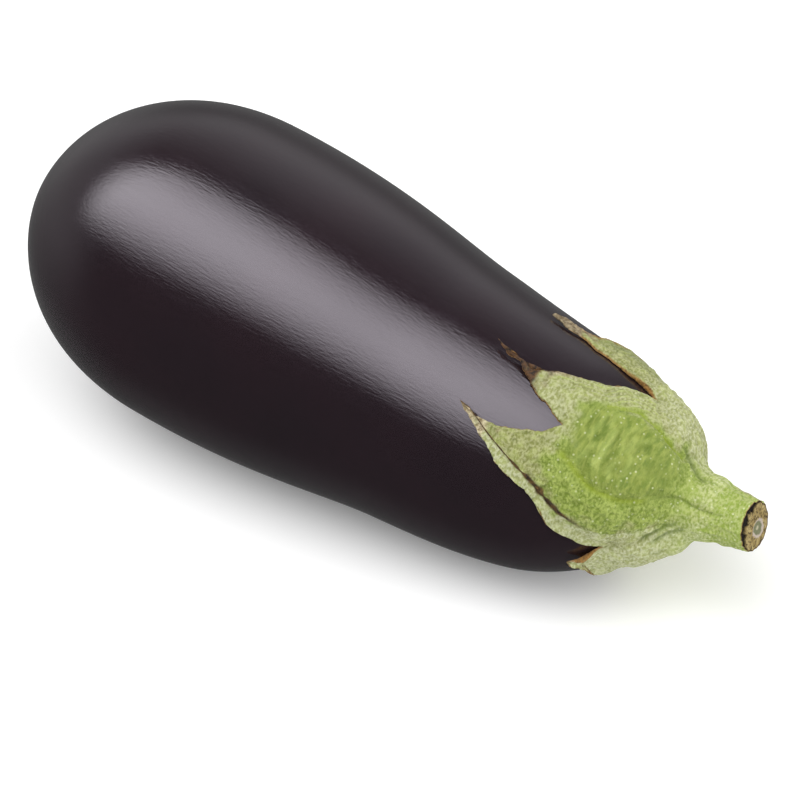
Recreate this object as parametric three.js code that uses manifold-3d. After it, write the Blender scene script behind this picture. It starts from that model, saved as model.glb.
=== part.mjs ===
// An eggplant, picked and lying on its side: the fruit, the calyx that caps its neck, and the cut stem.
// Millimetres. +X runs from the blossom end to the stem, +Z is up, and Z = 0 is what it rests on.

import * as THREE from "three";
import Module from "manifold-3d";
import { mergeGeometries, mergeVertices } from "three/addons/utils/BufferGeometryUtils.js";
import { ParametricGeometry } from "three/addons/geometries/ParametricGeometry.js";

// Driving dimensions. The fruit's meridian runs from the neck pole, under the stem, to the blossom
// end. Each station gives its place along the axis and its radius, the way the outline runs there,
// and the lengths of the curve handles before and after it.
const BODY_LENGTH = 192;
const BODY_RADIUS = 42;
const STATIONS = [
  { at: [BODY_LENGTH, 0], heading: [0, 1], after: 12 },
  { at: [160, 29.8], heading: [-1, 0.235], before: 17, after: 10 },
  { at: [122, 35.1], heading: [-1, 0.1], before: 11.5, after: 15.5 },
  { at: [52, BODY_RADIUS], heading: [-1, 0], before: 35.6, after: 35.8 },
  { at: [0, 0], heading: [0, -1], before: 18 },
];
const AXIS_TILT = 6; // degrees that the axis falls toward the neck
const AXIS_HEIGHT = 47.3; // height of the blossom end, which sinks the belly 1.2 mm into the ground
const OVALITY = 0.01; // the body is this share wider than it is high
const BOW = 1.6; // sideways bend of the axis, toward +Y at mid-length
const NECK_LEAN = { from: 130, up: 4.3, side: 3.6 }; // the neck grows off to one side from here on

const GAP = 0.3; // clearance between the calyx and the stem
const SEAT = 0.42; // clearance between the skin and the calyx, whose facets both cut corners
const SHOULDER = 16; // distance along the skin where the calyx leaves the dome and rises to the stem
const COLLAR = { height: 6.6, radius: 7.9, rise: 2.6, spread: 7 }; // where the stem starts on the calyx
const SHEET = { crown: 1.7, rim: 1.2, tip: 0.8 }; // thickness of the calyx, outward from the skin
const PILLOW = { swell: 1.5, fade: 1.5 }; // how far a lobe swells between its creases, and how fast that ends
const TIP_WIDTH = 1.2; // degrees, the blunt end of a lobe

const STEM_OFFSET = { up: 2.05, side: 1.5 }; // foot of the stem, away from the neck pole
const STEM_LENGTH = 18; // from the neck pole to the cut
const STEM_RISE = 1.1; // how far the stem bends up over its length
const STEM_RADII = [7.9, 7.25, 6.75, 6.55]; // from the collar to the cut
const CUT_TILT = 0.11; // the knife leaned this much out of square

// Creases between neighbouring lobes, from the shoulder to the notch where the lobes part. Each
// point is an angle round the fruit (degrees, 0 on top, positive toward -Y) and a distance along
// the skin from the neck pole.
const CREASES = [
  [[-60, 16], [-58, 22], [-57, 27]],
  [[-22, 16], [-14, 22], [-15, 28], [-20.5, 31]],
  [[40, 16], [53, 25], [46, 34.5], [38, 40.5], [28, 44]],
  [[92, 16], [93, 19], [93, 23]],
  [[166, 16], [168, 19], [170, 23]],
  [[233, 16], [234, 21], [235, 27]],
];

// Margins of each lobe, from the notch on its left and on its right, both ending near its tip.
const LOBES = [
  {
    left: [[-48, 35], [-40, 43], [-34, 50], [-28, 57]],
    right: [[-22, 37.5], [-22.5, 44], [-22.5, 50], [-23, 57]],
    tip: [-24.5, 63.5],
  },
  {
    left: [[-11, 37], [-1, 43], [6, 49.5], [11, 54.5]],
    right: [[24, 48], [21, 52.5], [17, 57], [14, 62.5]],
    tip: [10, 68],
  },
  {
    left: [[35, 47], [37, 52], [40, 57.5], [40, 62]],
    right: [[83, 30], [73, 38], [63, 46], [52, 57]],
    tip: [39, 67.5],
  },
  {
    left: [[96, 26], [101, 28.5]],
    right: [[150, 25], [130, 26], [110, 27]],
    tip: [104, 30.5],
  },
  {
    left: [[182, 31], [196, 40], [206, 50]],
    right: [[228, 36], [222, 45], [214, 53]],
    tip: [210, 60],
  },
  {
    left: [[243, 35], [254, 46], [262, 55]],
    right: [[294, 36], [283, 46], [272, 55]],
    tip: [267, 63],
  },
];

const FULL_TURN = 2 * Math.PI;
const FRUIT_FACETS = { round: 44, along: 36 };
const STEM_FACETS = { round: 24, along: 8 };
const LOBE_FACETS = 6; // across a lobe
const ROWS = { collar: 1, shoulder: 5, notch: 9, tip: 17 }; // rows of facets from stem to lobe tip
const SAME_POINT = 1e-3; // vertices closer than this are one

const tilt = THREE.MathUtils.degToRad(AXIS_TILT);
const ahead = new THREE.Vector3(Math.cos(tilt), 0, -Math.sin(tilt));
const top = new THREE.Vector3(Math.sin(tilt), 0, Math.cos(tilt));
const near = new THREE.Vector3(0, -1, 0);

function meridianCurve() {
  const curve = new THREE.CurvePath();
  for (let i = 1; i < STATIONS.length; i++) {
    const [from, to] = [STATIONS[i - 1], STATIONS[i]];
    const start = new THREE.Vector2(...from.at);
    const end = new THREE.Vector2(...to.at);
    const leave = new THREE.Vector2(...from.heading).multiplyScalar(from.after).add(start);
    const arrive = new THREE.Vector2(...to.heading).multiplyScalar(-to.before).add(end);
    curve.add(new THREE.CubicBezierCurve(start, leave, arrive, end));
  }
  return curve;
}

const meridian = meridianCurve();
const skinLength = meridian.getLength();

// The direction away from the fruit's axis at an angle round it.
function outward(angle) {
  return top.clone().multiplyScalar(Math.cos(angle)).addScaledVector(near, Math.sin(angle));
}

// A point at a height over the skin: the meridian turned round the axis, widened a little to an
// oval, then bowed and leaned sideways.
function skin(angle, along, height = 0) {
  const share = THREE.MathUtils.clamp(along / skinLength, 0, 1);
  const [x, radius] = meridian.getPoint(share).toArray();
  const heading = meridian.getTangent(share);
  const lean = Math.max(0, (x - NECK_LEAN.from) / (BODY_LENGTH - NECK_LEAN.from)) ** 2;
  const sideways = BOW * Math.sin((Math.PI * x) / BODY_LENGTH) + lean * NECK_LEAN.side;
  const oval = 1 - OVALITY * Math.cos(2 * angle);
  return new THREE.Vector3(0, 0, AXIS_HEIGHT)
    .addScaledVector(ahead, x + height * heading.y)
    .addScaledVector(outward(angle), radius * oval - height * heading.x)
    .addScaledVector(top, lean * NECK_LEAN.up)
    .addScaledVector(near, -sideways);
}

function surface(place, across, along) {
  const geometry = new ParametricGeometry((u, v, target) => target.copy(place(u, v)), across, along);
  geometry.deleteAttribute("normal");
  geometry.deleteAttribute("uv");
  return geometry;
}

// Joins surfaces along their shared edges into one closed body, without the faces that shrank to
// a line at a pole.
function closedBody(surfaces) {
  const merged = mergeVertices(mergeGeometries(surfaces), SAME_POINT);
  const corners = merged.index.array;
  const kept = [];
  for (let i = 0; i < corners.length; i += 3) {
    const [a, b, c] = corners.slice(i, i + 3);
    if (a !== b && b !== c && c !== a) kept.push(a, b, c);
  }
  merged.setIndex(kept);
  return merged;
}

const wasm = await Module();
wasm.setup();

function toSolid(geometry) {
  const vertProperties = geometry.attributes.position.array;
  const triVerts = new Uint32Array(geometry.index.array);
  return new wasm.Manifold(new wasm.Mesh({ numProp: 3, vertProperties, triVerts }));
}

function toGeometry(solid) {
  const { vertProperties, triVerts } = solid.getMesh();
  return new THREE.BufferGeometry()
    .setAttribute("position", new THREE.BufferAttribute(vertProperties, 3))
    .setIndex(new THREE.BufferAttribute(triVerts, 1));
}

// Everything below the ground is cut off, which leaves the small flat spot that a body rests on.
function cutLevel(geometry) {
  const ground = new THREE.BoxGeometry(2 * BODY_LENGTH, 4 * BODY_RADIUS, BODY_RADIUS);
  ground.translate(BODY_LENGTH / 2, 0, -BODY_RADIUS / 2);
  ground.deleteAttribute("normal");
  ground.deleteAttribute("uv");
  return toGeometry(toSolid(geometry).subtract(toSolid(mergeVertices(ground))));
}

function fruitGeometry() {
  const place = (u, v) => skin(-u * FULL_TURN, v * skinLength);
  return cutLevel(closedBody([surface(place, FRUIT_FACETS.round, FRUIT_FACETS.along)]));
}

// The stem's centre line leaves the dome beside the neck pole and bends up slightly.
function stemCurve() {
  const foot = skin(0, 0)
    .addScaledVector(top, STEM_OFFSET.up)
    .addScaledVector(near, -STEM_OFFSET.side);
  const middle = foot.clone().add(new THREE.Vector3(STEM_LENGTH / 2, 0, 0));
  const end = foot.clone().add(new THREE.Vector3(STEM_LENGTH, 0, STEM_RISE));
  return new THREE.QuadraticBezierCurve3(foot, middle, end);
}

const stemLine = stemCurve();

function stemPoint(angle, distance, radius) {
  const share = distance / STEM_LENGTH;
  const forward = stemLine.getTangent(Math.min(share, 1));
  const across = new THREE.Vector3().crossVectors(forward, top).normalize();
  const above = new THREE.Vector3().crossVectors(across, forward);
  return stemLine
    .getPoint(share)
    .addScaledVector(above, radius * Math.cos(angle))
    .addScaledVector(across, radius * Math.sin(angle));
}

// Rings of the stem from the collar to the cut, closed by a flat face at each end. The rings lean
// out of square more and more, up to the cut.
function stemGeometry() {
  const start = COLLAR.height + GAP;
  const radii = new THREE.SplineCurve(STEM_RADII.map((r, i) => new THREE.Vector2(i, r)));
  const place = (u, v) => {
    const share = THREE.MathUtils.clamp((v * STEM_FACETS.along - 1) / (STEM_FACETS.along - 2), 0, 1);
    const radius = v === 0 || v === 1 ? 0 : radii.getPoint(share).y;
    const angle = -u * FULL_TURN;
    const lean = CUT_TILT * share ** 3 * radius * Math.cos(angle);
    return stemPoint(angle, start + share * (STEM_LENGTH - start) - lean, radius);
  };
  return closedBody([surface((u, v) => place(u, 1 - v), STEM_FACETS.round, STEM_FACETS.along)]);
}

function outline(points) {
  return new THREE.SplineCurve(points.map((point) => new THREE.Vector2(...point)));
}

// The two edges of a lobe, each from the shoulder along the crease to the notch, and on along the
// margin to the tip. An edge takes a row number and gives an angle in radians and a distance.
function lobeEdge(crease, margin, tip, side) {
  const notch = crease.at(-1);
  const creaseLine = outline(crease);
  const end = [tip[0] + (side * TIP_WIDTH) / 2, tip[1]];
  const marginLine = outline([notch, ...margin, end]);
  return (row) => {
    const point =
      row <= ROWS.notch
        ? creaseLine.getPointAt(Math.max(0, row - ROWS.shoulder) / (ROWS.notch - ROWS.shoulder))
        : marginLine.getPointAt((row - ROWS.notch) / (ROWS.tip - ROWS.notch));
    return point.set(THREE.MathUtils.degToRad(point.x), point.y);
  };
}

function shifted(points, turn) {
  return points.map(([angle, along]) => [angle + turn, along]);
}

// Thickness of the calyx at a row, and how far the lobe swells over it there.
function sheetHeight(row, u) {
  const reach = THREE.MathUtils.clamp((row - ROWS.notch) / (ROWS.tip - ROWS.notch), 0, 1);
  const thinned = THREE.MathUtils.smoothstep(row, ROWS.shoulder, ROWS.notch);
  const sheet = THREE.MathUtils.lerp(SHEET.crown, SHEET.rim, thinned) + reach * (SHEET.tip - SHEET.rim);
  return sheet + PILLOW.swell * Math.sqrt(Math.sin(Math.PI * u)) * (1 - reach) ** PILLOW.fade;
}

// The outer face of a lobe: a flat disc inside the collar, a curve from the collar down to the
// shoulder, then the sheet over the skin.
function outerPoint(angle, along, row, u) {
  const share = (row - ROWS.collar) / (ROWS.shoulder - ROWS.collar);
  if (share <= 0) return stemPoint(angle, COLLAR.height, row === 0 ? 0 : COLLAR.radius);
  const height = sheetHeight(Math.max(row, ROWS.shoulder), u);
  if (share >= 1) return skin(angle, along, height);
  const start = stemPoint(angle, COLLAR.height, COLLAR.radius);
  const leave = stemPoint(angle, COLLAR.height - COLLAR.rise, COLLAR.radius);
  const arrive = skin(angle, SHOULDER - COLLAR.spread, height);
  return new THREE.CubicBezierCurve3(start, leave, arrive, skin(angle, SHOULDER, height)).getPoint(share);
}

function lobeSurfaces(crease, nextCrease, lobe) {
  const left = lobeEdge(crease, lobe.left, lobe.tip, -1);
  const right = lobeEdge(nextCrease, lobe.right, lobe.tip, 1);
  const spot = (row, u) => left(row).lerp(right(row), u);
  const outer = (row, u) => {
    const [angle, along] = spot(row, u).toArray();
    return outerPoint(angle, along, row, u);
  };
  const inner = (row, u) => {
    const [angle, along] = spot(row, u).toArray();
    return skin(angle, along * Math.min(1, row / ROWS.shoulder), SEAT);
  };
  const marginRows = ROWS.tip - ROWS.notch;
  const marginRow = (v) => ROWS.notch + Math.round(marginRows * v);
  const face = (share, row, u) => (share === 0 ? outer(row, u) : inner(row, u));
  return [
    surface((u, v) => outer(Math.round(ROWS.tip * (1 - v)), u), LOBE_FACETS, ROWS.tip),
    surface((u, v) => inner(Math.round(ROWS.tip * v), u), LOBE_FACETS, ROWS.tip),
    surface((share, v) => face(1 - share, marginRow(v), 1), 1, marginRows),
    surface((share, v) => face(share, marginRow(v), 0), 1, marginRows),
    surface((share, u) => face(share, ROWS.tip, u), 1, LOBE_FACETS),
  ];
}

function calyxGeometry() {
  const surfaces = LOBES.flatMap((lobe, i) => {
    const last = i === LOBES.length - 1;
    const nextCrease = last ? shifted(CREASES[0], 360) : CREASES[i + 1];
    return lobeSurfaces(CREASES[i], nextCrease, lobe);
  });
  return closedBody(surfaces);
}

function piece(name, geometry, colour, roughness) {
  const material = new THREE.MeshStandardMaterial({ color: colour, roughness, metalness: 0 });
  const mesh = new THREE.Mesh(geometry, material);
  mesh.name = name;
  return mesh;
}

const eggplant = new THREE.Group();
eggplant.add(piece("fruit", fruitGeometry(), 0x2c2026, 0.25));
eggplant.add(piece("calyx", calyxGeometry(), 0x93a765, 0.8));
eggplant.add(piece("stem", stemGeometry(), 0x9db455, 0.8));

// The origin goes to the middle of the footprint.
const middle = new THREE.Box3().setFromObject(eggplant).getCenter(new THREE.Vector3());
eggplant.position.set(-middle.x, -middle.y, 0);

export default eggplant;
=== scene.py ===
import bmesh
import bpy
import numpy as np
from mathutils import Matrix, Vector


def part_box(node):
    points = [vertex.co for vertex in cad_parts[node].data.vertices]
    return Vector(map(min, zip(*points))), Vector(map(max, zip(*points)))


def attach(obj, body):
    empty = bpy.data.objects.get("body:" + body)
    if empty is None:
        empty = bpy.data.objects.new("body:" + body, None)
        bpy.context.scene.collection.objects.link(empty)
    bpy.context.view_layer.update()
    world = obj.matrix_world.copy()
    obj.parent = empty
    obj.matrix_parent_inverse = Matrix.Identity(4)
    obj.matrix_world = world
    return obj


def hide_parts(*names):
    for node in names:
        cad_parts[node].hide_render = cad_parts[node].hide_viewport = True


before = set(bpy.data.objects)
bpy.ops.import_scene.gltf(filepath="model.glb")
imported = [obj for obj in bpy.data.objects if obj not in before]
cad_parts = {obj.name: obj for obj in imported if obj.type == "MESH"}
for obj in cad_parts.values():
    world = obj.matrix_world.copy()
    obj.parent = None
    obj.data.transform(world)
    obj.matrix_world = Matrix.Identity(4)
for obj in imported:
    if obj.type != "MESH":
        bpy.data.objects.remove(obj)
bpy.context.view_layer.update()  # one body, "root", with the nodes fruit, calyx and stem


# The fruit: a pear-shaped berry of spongy flesh in a tough, waxy skin, so dark a violet that it
# looks black. It grew hanging by its stem and now lies on its belly, which its weight has pressed
# a little flat.

BODY_LENGTH, BODY_RADIUS = 192, 42  # mm, without the stem
# The outline from the neck pole to the blossom end: place along the axis and radius, heading, and
# the lengths of the curve handles before and after it.
STATIONS = [
    ((BODY_LENGTH, 0), (0, 1), 0, 12),
    ((160, 29.8), (-1, 0.235), 17, 10),
    ((122, 35.1), (-1, 0.1), 11.5, 15.5),
    ((52, BODY_RADIUS), (-1, 0), 35.6, 35.8),
    ((0, 0), (0, -1), 18, 0),
]
AXIS_TILT = np.radians(6)  # the axis falls toward the neck
AXIS_HEIGHT = 47.3  # mm, of the blossom end
OVALITY = 0.01  # the body is this share wider than it is high
BOW = 1.6  # mm, sideways bend of the axis
NECK_FROM, NECK_UP, NECK_SIDE = 130, 4.3, 3.6  # mm, where the neck starts to lean and how far

AHEAD = np.array([np.cos(AXIS_TILT), 0, -np.sin(AXIS_TILT)])
TOP = np.array([np.sin(AXIS_TILT), 0, np.cos(AXIS_TILT)])
NEAR = np.array([0.0, -1.0, 0.0])


def bezier(start, leave, arrive, end, t):
    """Cubic curve: the four points weighted by (1-t)^3, 3(1-t)^2 t, 3(1-t) t^2 and t^3."""
    return (1 - t) ** 3 * start + 3 * (1 - t) ** 2 * t * leave + 3 * (1 - t) * t**2 * arrive + t**3 * end


def outline_curve(steps=160):
    """The fruit's half outline as a cubic curve between each two stations, as rows of (x, r)."""
    t = np.linspace(0, 1, steps)[:, None]
    parts = []
    for (start, heading, _, after), (end, arrival, before, _) in zip(STATIONS, STATIONS[1:]):
        start, end = np.array(start, float), np.array(end, float)
        leave, arrive = start + after * np.array(heading), end - before * np.array(arrival)
        parts.append(bezier(start, leave, arrive, end, t)[:-1])
    return np.vstack(parts + [end])


OUTLINE = outline_curve()
OUTLINE_STEPS = np.hypot(*np.diff(OUTLINE, axis=0).T)
OUTLINE_AT = np.concatenate([[0], np.cumsum(OUTLINE_STEPS)])  # distance along the skin
SKIN_LENGTH = OUTLINE_AT[-1]
OUTLINE_HEADING = np.gradient(OUTLINE, OUTLINE_AT, axis=0)
OUTLINE_HEADING /= np.linalg.norm(OUTLINE_HEADING, axis=1)[:, None]


def skin(angle, along, height=0.0):
    """A point at a height over the skin, square to the outline. The outline's point, by distance
    along it from the neck pole, is turned round the axis by the angle (0 on top, positive toward
    the near side), widened to an oval by 1 - ovality cos 2 angle, bowed sideways by a half sine,
    and leaned at the neck by the square of the distance past its start."""
    along = np.clip(along, 0, SKIN_LENGTH)
    x = np.interp(along, OUTLINE_AT, OUTLINE[:, 0])
    radius = np.interp(along, OUTLINE_AT, OUTLINE[:, 1])
    run = np.interp(along, OUTLINE_AT, OUTLINE_HEADING[:, 0])
    rise = np.interp(along, OUTLINE_AT, OUTLINE_HEADING[:, 1])
    lean = np.clip((x - NECK_FROM) / (BODY_LENGTH - NECK_FROM), 0, None) ** 2
    sideways = BOW * np.sin(np.pi * x / BODY_LENGTH) + lean * NECK_SIDE
    reach = radius * (1 - OVALITY * np.cos(2 * angle)) - height * run
    return (
        np.array([0, 0, AXIS_HEIGHT])
        + (x + height * rise)[..., None] * AHEAD
        + (reach * np.cos(angle) + lean * NECK_UP)[..., None] * TOP
        + (reach * np.sin(angle) - sideways)[..., None] * NEAR
    )


def bell(value):
    """A bell curve, 1 at nought: e to the power of minus the value squared."""
    return np.exp(-(value**2))


def swells(angle, along):
    """Unevenness of a grown body, in mm: a few long waves round it and along it, each a product of
    cosines, stronger toward the neck, where shallow ribs run on from the calyx."""
    ribs = np.cos(5 * angle + 0.7) * bell((along - 62) / 26)
    waves_round = np.cos(3 * angle + 1.9 + along / 37) * np.cos(along / 21 + 0.5)
    waves_long = np.cos(2 * angle - along / 29) + 0.6 * np.cos(4 * angle + along / 17 + 2)
    return 0.22 * ribs + 0.13 * waves_round + 0.11 * waves_long


def soft_floor(points, rounding=0.25):
    """Lifts what sinks below the ground to it, with a small rounding at the edge of the flat spot:
    z becomes half of z plus the root of z squared and the rounding squared."""
    z = points[..., 2]
    points[..., 2] = 0.5 * (z + np.sqrt(z**2 + rounding**2))
    return points


def grid_faces(rows, columns, first=0, flip=False):
    """Quads of a grid of points that starts at an index, as rows of four indices."""
    row, column = np.meshgrid(np.arange(rows - 1), np.arange(columns - 1), indexing="ij")
    here = first + row * columns + column
    quads = np.stack([here, here + columns, here + columns + 1, here + 1], -1).reshape(-1, 4)
    return quads[:, ::-1] if flip else quads


def new_piece(name, points, faces, materials, **values):
    """A smooth mesh object at the origin, from points in metres and arrays of faces. Each extra
    value is kept as an attribute with one number a point, for its material to read."""
    mesh = bpy.data.meshes.new(name)
    mesh.from_pydata(points.reshape(-1, 3), [], [face for group in faces for face in group.tolist()])
    for key, numbers in values.items():
        attribute = mesh.attributes.new(key, "FLOAT", "POINT")
        attribute.data.foreach_set("value", np.ascontiguousarray(numbers, np.float32).ravel())
    for material in materials:
        mesh.materials.append(material)
    mesh.shade_smooth()
    piece = bpy.data.objects.new(name, mesh)
    bpy.context.scene.collection.objects.link(piece)
    return piece


def weld(piece, distance=2e-6, shortest=1e-7):
    """Joins the points that neighbouring grids share, and drops faces that shrank to a line."""
    mesh = bmesh.new()
    mesh.from_mesh(piece.data)
    bmesh.ops.remove_doubles(mesh, verts=mesh.verts, dist=distance)
    bmesh.ops.dissolve_degenerate(mesh, edges=mesh.edges, dist=shortest)
    mesh.to_mesh(piece.data)
    mesh.free()


SKIN_ROUND, SKIN_ALONG = 288, 240
fruit_angle, fruit_along = np.meshgrid(
    np.linspace(0, 2 * np.pi, SKIN_ROUND + 1), np.linspace(0, SKIN_LENGTH, SKIN_ALONG + 1)
)
past_scar = SKIN_LENGTH - fruit_along  # distance from the blossom end

# The scar that the flower left is a shallow corky dimple, 7 mm across, with a puckered edge.
SCAR_RADIUS, SCAR_DEPTH, PUCKERS = 3.4, 1.1, 11
CALM_END = 25  # mm, over which the swells fade out toward each pole
SCAR_STOPS = 1.6  # shares of its radius, where the corky colour ends
dimple = -SCAR_DEPTH * bell(past_scar / (1.5 * SCAR_RADIUS))
pucker = 0.10 * np.cos(PUCKERS * fruit_angle) * bell((past_scar - 5.5) / 2.6)
fade = np.clip(past_scar / CALM_END, 0, 1) * np.clip(fruit_along / CALM_END, 0, 1)
fruit_height = fade * swells(fruit_angle, fruit_along) + dimple + pucker
fruit_points = skin(fruit_angle, fruit_along, fruit_height)
poles = np.array([0.0, SKIN_LENGTH]), np.array([0.0, -SCAR_DEPTH])
fruit_points[0], fruit_points[-1] = skin(0.0, *poles)
fruit_points = soft_floor(fruit_points)

# The CAD frame's origin is the middle of the footprint, so the fruit here is moved to its box.
fruit_box = np.array(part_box("fruit")) * 1000
own_box = np.array([fruit_points.min((0, 1)), fruit_points.max((0, 1))])
TO_FRAME = (fruit_box.mean(0) - own_box.mean(0)) * [1, 1, 0]


def placed(points):
    """Points in mm in the fruit's own place, in metres in the frame."""
    return (points + TO_FRAME) / 1000


def srgb(code):
    """Linear colour of an sRGB hex code."""
    values = np.array([int(code[i : i + 2], 16) for i in (0, 2, 4)]) / 255
    linear = np.where(values <= 0.04045, values / 12.92, ((values + 0.055) / 1.055) ** 2.4)
    return (*linear.tolist(), 1.0)


def add(tree, kind, inputs=(), output=None, **settings):
    """Adds a shader node with its settings, gives each named input a value or a link, and returns
    the named output, or else the first one in use."""
    node = tree.nodes.new("ShaderNode" + kind)
    for key, value in settings.items():
        setattr(node, key, value)
    for key, value in dict(inputs).items():
        if isinstance(value, bpy.types.NodeSocket):
            tree.links.new(value, node.inputs[key])
        else:
            node.inputs[key].default_value = value
    if output:
        return node.outputs[output]
    return next((socket for socket in node.outputs if socket.enabled), None)


LIMITS = "Value", "From Min", "From Max", "To Min", "To Max"  # what a Map Range node asks for


def new_material(name):
    """An empty node material and its tree."""
    material = bpy.data.materials.new(name)
    material.use_nodes = True
    material.node_tree.nodes.clear()
    return material, material.node_tree


def waxy_skin():
    """Eggplant skin: a smooth epidermis under a thin wax film, so it shines like polished
    leather, with a fine grain of cells drawn out along the fruit that frays the edges of a
    highlight. The cells are about 0.05 mm wide; the grain is drawn at 0.5 mm to show."""
    material, tree = new_material("waxy eggplant skin")
    place = add(tree, "TexCoord", output="Object")
    turned = add(tree, "Mapping", {"Vector": place, "Rotation": (0, -AXIS_TILT, 0)})
    blotch = add(tree, "TexNoise", {"Vector": turned, "Scale": 28, "Detail": 3})
    scar = add(tree, "Attribute", output="Fac", attribute_name="scar")
    colour = srgb("1B161A")
    for amount, tint in [(blotch, "281B20"), (scar, "8A7052")]:
        colour = add(tree, "Mix", {0: amount, 6: colour, 7: srgb(tint)}, data_type="RGBA")

    grains = []
    for scale in [(110, 760, 760), (400, 2100, 2100)]:
        drawn_out = add(tree, "Mapping", {"Vector": turned, "Scale": scale})
        grains.append(add(tree, "TexNoise", {"Vector": drawn_out, "Scale": 1, "Detail": 2}))
    streak, grain = grains
    bump = add(tree, "Bump", {"Height": streak, "Distance": 0.000016})
    bump = add(tree, "Bump", {"Height": grain, "Distance": 0.00004, "Normal": bump})
    rough = add(tree, "MapRange", dict(zip(LIMITS, (streak, 0.3, 0.7, 0.16, 0.24))))
    look = {"Base Color": colour, "Roughness": rough, "IOR": 1.55}
    look.update({"Specular Tint": srgb("F8E9FF"), "Normal": bump, "Coat Normal": bump})
    look.update({"Coat Weight": 1.0, "Coat Roughness": 0.12, "Coat IOR": 1.5})
    add(tree, "OutputMaterial", {"Surface": add(tree, "BsdfPrincipled", look)})
    return material


scar_amount = np.clip(SCAR_STOPS - past_scar / SCAR_RADIUS, 0, 1)
fruit_faces = [grid_faces(*fruit_angle.shape)]
fruit = new_piece("fruit_skin", placed(fruit_points), fruit_faces, [waxy_skin()], scar=scar_amount)
weld(fruit)
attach(fruit, "root")
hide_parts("fruit")


# The calyx: the green leafy cup that held the flower and stayed on the neck as a cap. Six lobes
# grow out of the stem and part at notches, each a fleshy sheet covered in pale down, thick in the
# middle, thin and corky brown at its rim, with a tip that has dried and curled off the skin.

STEM_UP, STEM_SIDE = 2.05, 1.5  # mm, foot of the stem, away from the neck pole
STEM_LENGTH, STEM_RISE = 18, 1.1  # mm, from the neck pole to the cut, and its bend upward
COLLAR_AT, COLLAR_RADIUS, CUT_RADIUS = 6.6, 7.9, 6.55  # mm, where the stem meets the calyx
CUT_TILT = 0.11  # the knife leaned this much out of square
COLLAR_RISE, COLLAR_SPREAD = 2.6, 7  # mm, handles of the flare between stem and shoulder
SHOULDER = 16  # mm along the skin, where the calyx leaves the dome and rises to the stem
SEAM = 4  # mm on the same scale, where the stem's own skin starts
ROOT = 1.2  # mm on the same scale, where the calyx ends inside the stem
DIP = 0.06  # by this times the square of the way past the seam, each turns in under the other
GAP = 0.1  # mm between the calyx and the fruit's skin


def stem_point(angle, distance, radius):
    """A point round the stem's centre line, which is a quadratic curve from its foot beside the
    neck pole, straight ahead and then bent up a little."""
    foot = skin(0.0, np.array(0.0)) + STEM_UP * TOP - STEM_SIDE * NEAR
    middle = foot + [STEM_LENGTH / 2, 0, 0]
    end = foot + [STEM_LENGTH, 0, STEM_RISE]
    share = (distance / STEM_LENGTH)[..., None]
    centre = (1 - share) ** 2 * foot + 2 * (1 - share) * share * middle + share**2 * end
    forward = 2 * (1 - share) * (middle - foot) + 2 * share * (end - middle)
    forward /= np.linalg.norm(forward, axis=-1, keepdims=True)
    across = np.cross(forward, TOP)
    above = np.cross(across, forward)
    up, aside = (radius * np.cos(angle))[..., None], (radius * np.sin(angle))[..., None]
    return centre + up * above + aside * across


def stem_radius(distance):
    """The stem narrows from the collar to the cut, fast at first: by a power of the way left."""
    left = np.clip(1 - (distance - COLLAR_AT) / (STEM_LENGTH - COLLAR_AT), 0, 1.5)
    return CUT_RADIUS + (COLLAR_RADIUS - CUT_RADIUS) * left**1.8


def green_base(angle, along):
    """The surface that the calyx and stem share, by angle and distance along it. Past the shoulder
    it is the fruit's skin. From the seam to the shoulder it is a cubic flare from the stem to the
    skin, and before the seam it is the stem itself."""
    angle, along = np.broadcast_arrays(np.asarray(angle, float), np.asarray(along, float))
    on_skin = skin(angle, along)
    distance = COLLAR_AT + np.clip(SEAM - along, 0, None)
    share = (distance - COLLAR_AT) / (STEM_LENGTH - COLLAR_AT)
    lean = CUT_TILT * share**3 * CUT_RADIUS * np.cos(angle)
    on_stem = stem_point(angle, distance - lean, stem_radius(distance))
    zero = np.zeros(along.shape)
    start = stem_point(angle, zero + COLLAR_AT, zero + COLLAR_RADIUS)
    slope = (stem_radius(COLLAR_AT - 0.1) - COLLAR_RADIUS) / 0.1
    leave = stem_point(angle, zero + COLLAR_AT - COLLAR_RISE, zero + COLLAR_RADIUS + slope * COLLAR_RISE)
    arrive = skin(angle, zero + SHOULDER - COLLAR_SPREAD)
    share = np.clip((along - SEAM) / (SHOULDER - SEAM), 0, 1)[..., None]
    flare = bezier(start, leave, arrive, skin(angle, zero + SHOULDER), share)
    along = along[..., None]
    return np.where(along >= SHOULDER, on_skin, np.where(along <= SEAM, on_stem, flare))


def green_normal(angle, along, turn=0.01, step=0.3):
    """Outward direction of that surface, square to its slopes round and along."""
    round_slope = green_base(angle + turn, along) - green_base(angle - turn, along)
    along_slope = green_base(angle, along + step) - green_base(angle, along - step)
    normal = np.cross(along_slope, round_slope)
    return normal / np.linalg.norm(normal, axis=-1, keepdims=True)


# Creases between lobes, from the shoulder to the notch: degrees round the fruit and mm along it.
CREASES = [
    [(-60, 16), (-58, 22), (-57, 27)],
    [(-9, 16), (-6.5, 20), (-8, 24), (-14, 28), (-24.5, 30.3)],
    [(44, 16), (53, 22.5), (52, 28), (46.5, 34.8), (40.5, 40.8), (28, 43.5)],
    [(92, 16), (94, 19), (97, 22.5)],
    [(166, 16), (168, 19), (170, 23)],
    [(233, 16), (234, 21), (235, 27)],
]
CREASES.append([(angle + 360, along) for angle, along in CREASES[0]])
# How deep each crease's valley is as a share of the lobes' swelling, how wide in mm, and how deep
# the line in it is in mm. The swollen crown has almost filled those beside the upper lobe.
VALLEYS = [(0.3, 3.2, 0.1), (0.4, 2.8, 0.1), (0.2, 3.0, 0.0), (0.4, 2.8, 0.0), (1, 3, 0.4), (1, 3, 0.4)]

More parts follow.
